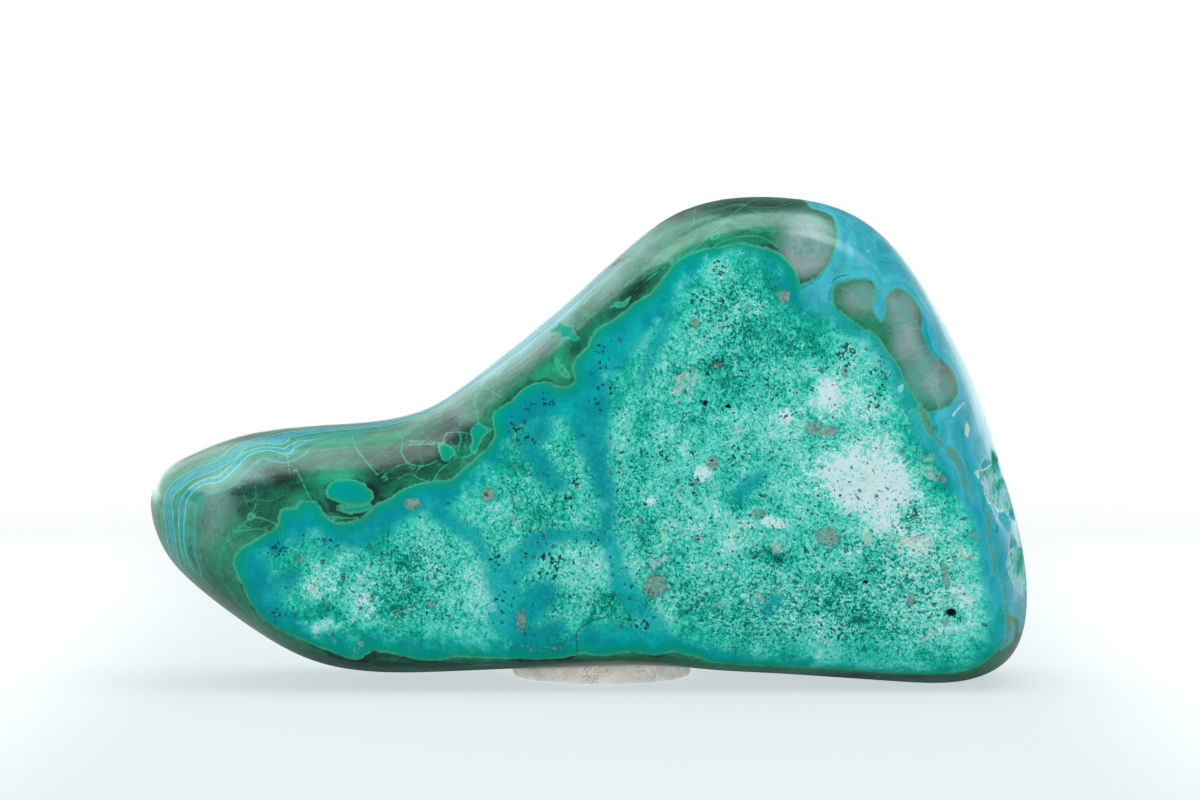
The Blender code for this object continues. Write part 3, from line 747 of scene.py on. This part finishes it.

# --- The stone: its colours ---------------------------------------------------------------------
# The polish is glassy on malachite and a little duller on the granular heart, whose softer
# grains have plucked out. Most colour is the stone's own; some is painted light and shade: a grey
# sheen and pale edges on the malachite, darker strips, the breaks' light and dark flats, dark
# holes.


class Wire:
    """One output of a material's nodes, on which Python arithmetic adds Math nodes."""

    def __init__(self, socket):
        self.socket = socket
        self.tree = socket.id_data

    def math(self, operation, *terms):
        node = self.tree.nodes.new("ShaderNodeMath")
        node.operation = operation
        for slot, term in zip(node.inputs, terms):
            if isinstance(term, Wire):
                self.tree.links.new(term.socket, slot)
            else:
                slot.default_value = term
        return Wire(node.outputs[0])

    def __add__(self, other):
        return self.math("ADD", self, other)

    def __sub__(self, other):
        return self.math("SUBTRACT", self, other)

    def __rsub__(self, other):
        return self.math("SUBTRACT", other, self)

    def __mul__(self, other):
        return self.math("MULTIPLY", self, other)

    def __abs__(self):
        return self.math("ABSOLUTE", self)

    __radd__ = __add__
    __rmul__ = __mul__

    def least(self, other):
        return self.math("MINIMUM", self, other)

    def most(self, other):
        return self.math("MAXIMUM", self, other)


def rgb(red, green, blue):
    """A linear colour from the three values of 0 to 255 that a screen shows."""
    share = np.array((red, green, blue)) / 255
    linear = np.where(share > 0.04045, ((share + 0.055) / 1.055) ** 2.4, share / 12.92)
    return (*(float(v) for v in linear), 1.0)


class Finish:
    """A material, with one way to add any node to it and short names for the usual ones."""

    def __init__(self, name):
        self.material = bpy.data.materials.new(name)
        self.material.use_nodes = True
        self.tree = self.material.node_tree
        self.shader = self.tree.nodes["Principled BSDF"]

    def node(self, kind, settings=(), sockets=(), out=0):
        """Any node, with its settings made first and then the values or links of its sockets."""
        made = self.tree.nodes.new("ShaderNode" + kind)
        for key, value in dict(settings).items():
            if key == "stops":
                elements = made.color_ramp.elements
                elements.remove(elements[1])
                elements[0].position, elements[0].color = value[0]
                for place, colour in value[1:]:
                    elements.new(place).color = colour
            else:
                setattr(made, key, value)
        self.set(made, dict(sockets))
        return Wire(made.outputs[out])

    def set(self, made, sockets):
        for key, value in sockets.items():
            if isinstance(value, Wire):
                self.tree.links.new(value.socket, made.inputs[key])
            else:
                made.inputs[key].default_value = value

    def field(self, name):
        """A marking that the stone's own mesh holds."""
        return self.node("Attribute", {"attribute_name": name}, out="Fac")

    def scaled(self, vector, factor):
        return self.node("VectorMath", {"operation": "SCALE"}, {0: vector, "Scale": factor})

    def millimetres(self):
        """Object coordinates, counted in millimetres."""
        return self.scaled(self.node("TexCoord", out="Object"), 1 / MM)

    def moved(self, start, place, per_mm, reach):
        """A place moved about by up to a reach, so that what is read there wanders."""
        drift = self.node("TexNoise", {}, {"Vector": place, "Scale": per_mm}, "Color")
        sockets = {0: start, 1: self.scaled(drift, reach)}
        return self.node("VectorMath", {"operation": "ADD"}, sockets)

    def stretched(self, place, scale, turn=(0, 0, 0)):
        return self.node("Mapping", {}, {"Vector": place, "Rotation": turn, "Scale": scale})

    def noise(self, place, per_mm, detail=2.0, roughness=0.55, distortion=0.0):
        """Clouds from about -0.5 to 0.5."""
        sockets = {"Vector": place, "Scale": per_mm, "Detail": detail,
                   "Roughness": roughness, "Distortion": distortion}
        return self.node("TexNoise", {}, sockets) - 0.5

    def layers(self, along, detail, roughness=0.5):
        """Uneven layers from about -0.5 to 0.5 that follow a distance."""
        sockets = {"W": along, "Scale": 1.0, "Detail": detail, "Roughness": roughness}
        return self.node("TexNoise", {"noise_dimensions": "1D"}, sockets) - 0.5

    def cells(self, place, per_mm, feature="F1", out="Distance"):
        sockets = {"Vector": place, "Scale": per_mm}
        return self.node("TexVoronoi", {"feature": feature}, sockets, out)

    def pick(self, crumbs, channel=0):
        """One of the three random values from 0 to 1 that each cell's colour holds."""
        return self.node("SeparateColor", {}, {0: crumbs}, channel)

    def rise(self, value, low, high):
        """A smooth step from 0 at low to 1 at high."""
        settings = {"interpolation_type": "SMOOTHSTEP"}
        return self.node("MapRange", settings, {0: value, 1: low, 2: high, 3: 0.0, 4: 1.0})

    def ramp(self, value, stops):
        return self.node("ValToRGB", {"stops": stops}, {0: value}, "Color")

    def mix(self, under, over, share):
        return self.node("Mix", {"data_type": "RGBA"}, {0: share, 6: under, 7: over}, 2)


look = Finish("polished_stone")
field, noise, cells = look.field, look.noise, look.cells
rise, ramp, mix = look.rise, look.ramp, look.mix
place = look.millimetres()
heart, margin, blue, islands, river, pale, shade, coarse, specks, stains, facet = map(field, (
    "heart", "margin", "blue", "islands", "river", "pale", "shade", "coarse", "specks",
    "stains", "facet"))
broad = noise(place, 0.09, 2)
patch = noise(place, 0.33, 3)
crumb = noise(place, 1.3, 3)
grain = noise(place, 3.6, 2, 0.7)
hair = noise(place, 5.0, 2, 0.6, 0.8)

# The granular heart: pale grains in a crisp deep-green mesh, cloudy from place to place.
shaken = look.moved(place, place, 2.2, 0.55)
level_strand = noise(look.stretched(shaken, (0.8, 1, 1.25)), 2.0, 3, 0.72)
slant_strand = noise(look.stretched(shaken, (1.4, 1, 0.75), (0, radians(50), 0)), 2.0, 3, 0.72)
strand = level_strand * coarse.least(1) + slant_strand * (1 - coarse.least(1))
crumbs = cells(shaken, 3.2, out="Color")
crumb_tone = look.pick(crumbs) - 0.5
crumb_pick = look.pick(crumbs, 1)
sway = rise(margin, 0.5, 4.0) * 0.7 + 0.3
depth = heart - margin + (patch * 5.0 + crumb * 2.4) * sway
loud = (0.55 + rise(depth, 0.0, 5.0) * 0.45) * (1 + coarse * 0.35)
cloud = broad * 0.5 + patch * 0.55 + crumb * 0.35
whitened = rise(pale + (crumb * 1.2 + grain * 0.5) * rise(pale, 0.0, 0.4), 0.1, 1.5)
mesh = strand + grain * 0.25 + cloud * 0.12 - shade * 0.04 + whitened * 0.05
mesh = rise(mesh, -0.10, -0.01)
web = rise(abs(noise(shaken, 1.7, 2, 0.6)), 0.04, 0.012) * rise(crumb_pick + crumb, 0.3, 0.6)
bright = rise(noise(shaken, 2.6, 2, 0.7), 0.08, 0.16)
tone = mesh * 0.24 - web * 0.14 + bright * 0.09 + crumb_tone * 0.2 + grain * 0.24
tone = 0.42 + tone * loud + cloud * 0.95
tone = tone + whitened * (0.38 + crumb * 0.5 + grain * 0.2) - shade * 0.16
core = ramp(tone, [
    (0.0, rgb(0, 84, 72)), (0.2, rgb(0, 124, 104)), (0.36, rgb(0, 160, 138)),
    (0.5, rgb(14, 190, 168)), (0.64, rgb(80, 216, 200)), (0.78, rgb(130, 228, 215)),
    (0.92, rgb(186, 236, 234)), (1.0, rgb(212, 240, 244)),
])
pepper = crumb_pick + cloud * -0.7 + crumb * 0.9 + shade * 0.25 + coarse * 0.04
pepper = rise(pepper - (1 - loud) * 0.15, 0.98, 1.04)
core = mix(core, rgb(0, 94, 82), pepper * 0.8)
rust = rise(noise(shaken, 1.0, 3, 0.6) + patch * 0.3 + field("blush") * 0.05, 0.15, 0.22)
core = mix(core, rgb(184, 206, 146), rust * rise(tone, 0.3, 0.6) * 0.6)
blush = rise(noise(shaken, 0.8, 4, 0.65) - broad * 0.4 + field("blush") * 0.26, 0.15, 0.3)
blush_colour = mix(rgb(156, 180, 170), rgb(204, 210, 206), rise(strand, -0.1, 0.1))
core = mix(core, blush_colour, blush * 0.7)

# The smooth turquoise margin, with its rivers.
margin_tone = rise(patch * 1.2 + crumb * 0.5 + broad * 1.4, -0.25, 0.35)
smooth = mix(rgb(0, 146, 158), rgb(0, 180, 178), margin_tone)
smooth = mix(rgb(0, 156, 130), smooth, rise(heart.most(islands) + crumb, 0.2, 2.2))
smooth = mix(smooth, rgb(80, 206, 212), rise(pale, 0.15, 0.9) * 0.9)
calm = rise(river + patch * 3.0 + crumb * 2.0, -0.6, 1.0)
granular = rise(depth, coarse * 0.6 - 1.7, 1.2 - coarse * 0.9) * (1 - calm * 0.9)
middle = mix(smooth, core, granular)

# Brown-grey stains, spots and black specks.
stain = stains + strand * 1.2 + grain * 0.4
stain_share = rise(stain, 0.42, 0.7) * rise(crumb_tone + grain * 0.5, -0.5, -0.2)
stain_tone = 0.6 + crumb * 0.9 + grain * 0.5 - rise(abs(stain - 0.5), 0.22, 0.05) * 0.35
stain_colour = ramp(stain_tone, [
    (0.2, rgb(56, 84, 78)), (0.5, rgb(108, 136, 124)), (0.8, rgb(156, 180, 168))])
middle = mix(middle, stain_colour, stain_share * 0.85)
spot_place = look.moved(shaken, place, 1.2, 0.9)
spot_far = cells(spot_place, 0.75) + grain * 0.14
spot_pick = look.pick(cells(spot_place, 0.75, out="Color"))
spot_size = 0.06 + 0.2 * rise(spot_pick, 0.4, 1.0)
spot = rise(spot_far, spot_size, spot_size * 0.7) * rise(heart, 1.2, 2.5)
near_edge = rise(abs(depth - 1.0), 5.0, 1.5)
spot_share = spot_pick + broad * 1.3 + patch * 1.2 + specks * 0.5 + near_edge * 0.3 - coarse * 0.3
spot_centre = rise(spot_far, spot_size * 0.6, spot_size * 0.1)
spot_colour = mix(rgb(38, 74, 72), rgb(116, 128, 112), spot_centre * (0.3 + spot_pick * 0.7))
middle = mix(middle, spot_colour, spot * rise(spot_share, 0.66, 0.74) * 0.85)
black = look.pick(cells(shaken, 2.6, out="Color"), 2) + specks * 0.24 + crumb * 0.8 + patch * 0.3
black = rise(black, 0.99, 1.04) * rise(specks + heart * 0.03 + patch * 0.8, 0.12, 0.5)
middle = mix(middle, rgb(8, 42, 44), black * 0.88)
fleck = noise(shaken, 2.2, 2, 0.6) + pale * 0.05 + patch * 0.25 + broad * 0.2
middle = mix(middle, rgb(222, 242, 240), rise(fleck, 0.2, 0.26) * granular * 0.75)

# Malachite: dark green in bands that follow the heart, cut into cells by fine pale veins.
inner = heart.most(islands)
wavy = 0 - inner + patch * 2.4 + broad * 5.0
# Malachite's own tone, with strips along the crest and the foot painted darker as painted shade.
green_tone = (0.53 + look.layers(wavy * 0.55, 2.0) * 0.55 + look.layers(wavy * 2.6, 3.0, 0.6) * 0.22
              + broad * 0.6 + patch * 0.45 + hair * 0.24 + crumb * 0.3 + field("tones") * 0.26)
green = ramp(green_tone, [
    (0.12, rgb(0, 38, 32)), (0.32, rgb(0, 72, 56)), (0.52, rgb(0, 112, 84)),
    (0.72, rgb(0, 146, 106)), (0.92, rgb(30, 170, 134))])
cell_edge = cells(look.moved(place, place, 0.22, 7.0), 0.16, "DISTANCE_TO_EDGE") + hair * 0.02
cell_line = rise(cell_edge, 0.025, 0.006) * rise(broad + patch * 0.6, -0.08, 0.1)
green = mix(green, rgb(60, 156, 128), cell_line * 0.4)
vein_width = 0.15 + crumb * 0.2
vein_line = rise(abs(field("vein")) + hair * 0.12, vein_width, vein_width * 0.3)
vein_line = vein_line * rise(field("vein_far"), 1.2, 0.8) * rise(crumb + patch, -0.3, 0.1)
green = mix(green, rgb(52, 182, 146), vein_line * 0.7)
# Painted sheen: a grey-blue reflection of the lamps, painted into the malachite's colour.
bloom = rise(field("bloom") + patch * 0.5 + hair * 0.3 + crumb * 0.4, 0.15, 1.1)
painted_sheen_colour = mix(rgb(156, 180, 180), rgb(110, 170, 164), rise(patch + crumb * 0.6, -0.15, 0.15))
green = mix(green, painted_sheen_colour, bloom * (0.8 + grain * 0.5 + hair * 0.4))
# Painted sheen: pale blue-white along the slope's top edge, where the polish would mirror the
# backdrop.
frost = rise(field("frost") + patch * 0.9, 0.15, 1.0)
green = mix(green, rgb(146, 208, 216), frost * 0.9)

# The blue and green bands that run round the toe and along the crest, with thin ones beside them.
band_blue = mix(rgb(0, 150, 178), rgb(0, 176, 190), rise(crumb, -0.1, 0.1))
for name, half, strength in (("first_band", 0.95, 0.95), ("second_band", 0.42, 0.8)):
    across = field(name) + crumb * 0.4 + patch * 0.6
    near = abs(across)
    thread = rise(abs(look.layers(across * 2.2, 1.0)), 0.05, 0.015)
    thread = thread * rise(near, 4.5, 2.0) * rise(near, 20, 18)
    green = mix(green, rgb(56, 190, 178), thread * 0.6)
    green = mix(green, rgb(96, 214, 190), rise(abs(near - half * 1.35), 0.2, 0.06) * 0.85)
    green = mix(green, band_blue, rise(near, half, half * 0.6) * strength)

# Outside the malachite, sky-blue chrysocolla, and everywhere the lace between the two.
back_side = rise(look.node("SeparateXYZ", {}, {0: place}, "Y"), 2.0, 8.0)
streak = noise(look.stretched(place, (0.5, 0.12, 0.25)), 1.0, 3)
flow = look.layers(blue * 0.7 + patch * 2.0 + broad * 4.0, 4.0, 0.62)
sky = mix(rgb(0, 160, 180), rgb(70, 198, 216), rise(streak * 0.7 + flow, -0.25, 0.3))
sky = mix(sky, rgb(84, 156, 158), rise(abs(flow + streak * 0.2), 0.035, 0.01) * 0.4)
chalk = rise(pale + crumb * 1.2 + grain * 0.5, 0.4, 0.8)
sky = mix(sky, rgb(206, 226, 210), chalk * (0.9 - back_side * 0.6))
sky = mix(sky, rgb(60, 164, 150), vein_line * 0.5)
turquoise = mix(middle, sky, rise(blue - inner + patch * 2, -1.6, 2.4))
ragged = rise(field("bloom"), 0.0, 0.5) * crumb * 0.8
edge_depth = inner.most(blue + patch * 0.6 - ragged) + crumb * 0.5 + grain * 0.12
colour = mix(green, turquoise, rise(edge_depth, -0.12, 0.25))
lace = rise(abs(edge_depth - 0.02), 0.25, 0.04) * rise(patch + crumb * 0.6, -0.4, 0.1)
colour = mix(colour, rgb(66, 192, 150), lace * 0.65)
crack_line = rise(abs(field("crack")) + grain * 0.06, 0.13, 0.05)
crack_line = crack_line * rise(field("crack_far"), 0.9, 0.6)
colour = mix(colour, rgb(20, 60, 54), crack_line * 0.7)
strip = field("strip") + crumb * 0.5 + grain * 0.15
olive = mix(rgb(70, 156, 140), rgb(104, 142, 118), rise(crumb + patch * 0.6, -0.12, 0.16))
olive_share = rise(strip, -0.1, 0.25) * rise(patch + crumb, -0.3, 0.0)
colour = mix(colour, olive, olive_share * 0.75)
colour = mix(colour, rgb(96, 190, 162), rise(abs(strip), 0.2, 0.04) * 0.35)

# Fresh breaks show matt streaks of pale, green and blue, with white bruised edges.
scar = rise(field("scar") + crumb * 0.5 + grain * 0.15 + patch * back_side, -0.08, 0.12)
shell = noise(look.stretched(shaken, (1.6, 0.2, 0.45), (0, radians(-25), 0)), 1.8, 3, 0.7)
# The breaks' flats are painted lighter and darker as painted light and shade.
broken = ramp(shell * 0.9 + 0.5 + facet * 0.16, [
    (0.22, rgb(0, 130, 108)), (0.4, rgb(56, 184, 164)), (0.52, rgb(132, 214, 204)),
    (0.66, rgb(196, 232, 236))])
broken = mix(broken, rgb(134, 208, 230), rise(facet, 0.3, 1.0) * 0.75)
colour = mix(colour, broken, scar * (0.95 - back_side * 0.5))
bruise = rise(field("scar_edge") + crumb * 0.35 + grain * 0.2, 0.24, 0.08)
colour = mix(colour, rgb(222, 240, 234), bruise * 0.8)
# Painted shade: the deeper holes are painted near-black inside.
hollow = rise(field("hollow") + crumb * 0.3, 0.2, 0.45)
colour = mix(colour, rgb(4, 34, 32), hollow * 0.95)

# The heart is duller than the malachite and softly pitted; only the malachite has the full shine.
soft = rise(inner, -0.3, 0.6)
rough = (0.31 + hair * 0.12) * (1 - soft) + soft * (0.13 + granular * 0.22)
rough = rough * (1 - scar) + scar * 0.6
height = (grain * 0.8 + crumb * 0.8 + mesh * 0.3) * granular * soft + shell * scar * 2
PIT_DEPTH = 0.2 * MM
relief = look.node("Bump", {}, {"Strength": 0.35, "Distance": PIT_DEPTH, "Height": height})
shine = 0.8 + hair * 0.4 + crumb * 0.3 + broad * 0.8 - rise(blue, -0.2, 0.4) * 0.35
MALACHITE_IOR, CHRYSOCOLLA_IOR = 1.85, 1.45
look.set(look.shader, {
    "Base Color": colour, "Roughness": rough, "Normal": relief, "IOR": CHRYSOCOLLA_IOR,
    "Specular IOR Level": 0.12, "Coat Weight": (1 - soft) * (1 - scar) * shine,
    "Coat Roughness": 0.2, "Coat IOR": MALACHITE_IOR,
})
stone.data.materials.append(look.material)
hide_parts("chrysocolla_stone")
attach(stone, "root")

# --- The putty pad ------------------------------------------------------------------------------
# A lump of cream-coloured museum putty, pressed flat by hand between the stone and the table.
# It is dull, a little mottled, and closes softly on the stone that sank into it.
PUTTY_VOXEL = 0.25 * MM
PUTTY_PASSES = 8
PUTTY_RISE = 0.22  # how far the putty has crept up to the stone
PUTTY_TOP = (1.2, 2.0), (3.1, 2.8)  # heights between which it has crept, up and down
PUTTY_PAINTED_GLOW = 0.24  # painted light: a glow that lifts the putty out of the stone's shade
pad = copy_of("putty_pad", "pressed_putty")
apply_modifier(pad, "REMESH", mode="VOXEL", voxel_size=PUTTY_VOXEL)
apply_modifier(pad, "SMOOTH", iterations=PUTTY_PASSES, factor=PASS_STRENGTH)
shape = points_of(pad)
lower, upper = (ease(shape[:, 2], *heights) for heights in PUTTY_TOP)
shape[:, 2] += PUTTY_RISE * lower * upper
pad.data.vertices.foreach_set("co", (shape * MM).ravel())
pad.visible_glossy = False
bpy.ops.object.shade_smooth()
putty = Finish("putty")
place = putty.millimetres()
fleck = putty.rise(putty.cells(place, 1.9) + putty.noise(place, 5.0) * 0.5, 0.17, 0.08)
mottle = putty.rise(putty.noise(place, 0.5, 3), -0.2, 0.2)
cream = putty.mix(rgb(226, 222, 212), rgb(246, 243, 234), mottle)
crease = putty.rise(abs(putty.noise(place, 1.1, 3, 0.7)), 0.035, 0.01)
crease = crease * putty.rise(putty.noise(place, 0.35, 2), 0.05, 0.15)
cream = putty.mix(cream, rgb(96, 90, 78), crease * 0.7)
dents = putty.node("Bump", {}, {"Strength": 0.8, "Distance": 0.4 * MM,
                                "Height": putty.noise(place, 1.2, 4)})
# Its glow is painted light that lifts it out of the stone's shade.
putty.set(putty.shader, {
    "Base Color": putty.mix(cream, rgb(110, 98, 84), fleck * 0.75), "Roughness": 0.75,
    "Normal": dents, "Emission Color": cream, "Emission Strength": PUTTY_PAINTED_GLOW,
})
pad.data.materials.append(putty.material)
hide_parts("putty_pad")
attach(pad, "root")

# --- Floor and light ----------------------------------------------------------------------------
# A seamless pale table under soft boxes: one overhead, one each side, and a lit white backdrop.
# A broad front fill is kept out of the reflections, as crossed polarisers would keep it.
TABLE_SIZE = 6.0
TABLE_BELOW = 0.05 * MM
TABLE_GREY, WHITE, BLACK = (0.22, 0.225, 0.225, 1), (1, 1, 1, 1), (0, 0, 0, 1)
TABLE_GLOW = (0.56, 0.62, 0.64, 1)
COOL, NEUTRAL = (0.91, 0.98, 1.0), (1, 1, 1)
LAMP_AIM = (0, 0, 30 * MM)
only(stone)
bpy.ops.mesh.primitive_plane_add(size=TABLE_SIZE, location=(0, 0, -TABLE_BELOW))
floor = bpy.context.object
floor.name = "floor"
table = Finish("floor")
place = table.node("TexCoord", out="Object")
spread = table.node("VectorMath", {"operation": "LENGTH"}, {0: place}, "Value")
sideways = abs(table.node("SeparateXYZ", {}, {0: place}, "X"))
away = table.rise(spread, 0.10, 0.42)
lit = away.most(table.rise(sideways, 0.055, 0.105) * 0.7)
mirrored = table.node("LightPath", out="Is Glossy Ray") * (0.9 - away * 0.5)
bounced = table.node("LightPath", out="Is Diffuse Ray") * (1 - away) * 0.35
table.set(table.shader, {
    "Base Color": table.mix(TABLE_GREY, BLACK, away),
    "Roughness": 0.6, "Specular IOR Level": 0.0,
    "Emission Color": table.mix(TABLE_GLOW, WHITE, lit),
    "Emission Strength": 1 - mirrored - bounced,
})
floor.data.materials.append(table.material)

world = bpy.data.worlds.new("studio")
bpy.context.scene.world = world
world.use_nodes = True
backdrop = world.node_tree.nodes["Background"]
backdrop.inputs["Color"].default_value = WHITE
rays = world.node_tree.nodes.new("ShaderNodeLightPath")
seen = Wire(rays.outputs["Is Camera Ray"]) * 0.98
mirrored = Wire(rays.outputs["Is Glossy Ray"]) * 0.09
world.node_tree.links.new((seen + mirrored + 0.02).socket, backdrop.inputs["Strength"])


def softbox(name, place, size, watts, mirrored=True):
    """A rectangular studio light that looks at the stone, and may be left out of reflections."""
    data = bpy.data.lights.new(name, "AREA")
    data.shape = "RECTANGLE"
    data.size, data.size_y = size
    data.energy = watts
    data.color = COOL if mirrored else NEUTRAL
    lamp = bpy.data.objects.new(name, data)
    bpy.context.scene.collection.objects.link(lamp)
    lamp.location = place
    way = Vector(LAMP_AIM) - Vector(place)
    lamp.rotation_euler = way.to_track_quat("-Z", "Y").to_euler()
    lamp.visible_glossy = mirrored
    lamp.visible_camera = False


softbox("overhead", (-0.12, 0.29, 1.0), (1.2, 0.6), 3.8)
softbox("overhead_right", (0.44, -0.12, 0.95), (0.4, 0.5), 1.7)
softbox("left_behind", (-0.58, 0.60, 0.47), (0.9, 0.9), 1.9)
softbox("far_left_behind", (-0.34, 1.0, 0.28), (0.44, 0.6), 0.25)
softbox("left", (-0.98, -0.08, 0.25), (0.7, 0.6), 1.0)
softbox("right_front", (0.80, -0.38, 0.52), (0.6, 0.5), 0.4)
softbox("right_behind", (0.72, 0.72, 0.12), (1.1, 0.5), 0.8)
softbox("behind", (0.1, 1.2, 0.12), (2.6, 0.26), 2.6)
softbox("overhead_fill", (0, 0.05, 1.1), (2.0, 1.4), 9.5, mirrored=False)
softbox("front_fill", (-0.1, -1.0, 0.45), (1.2, 0.9), 6.3, mirrored=False)
softbox("back_fill", (0.1, 1.1, 0.5), (1.6, 0.9), 5, mirrored=False)
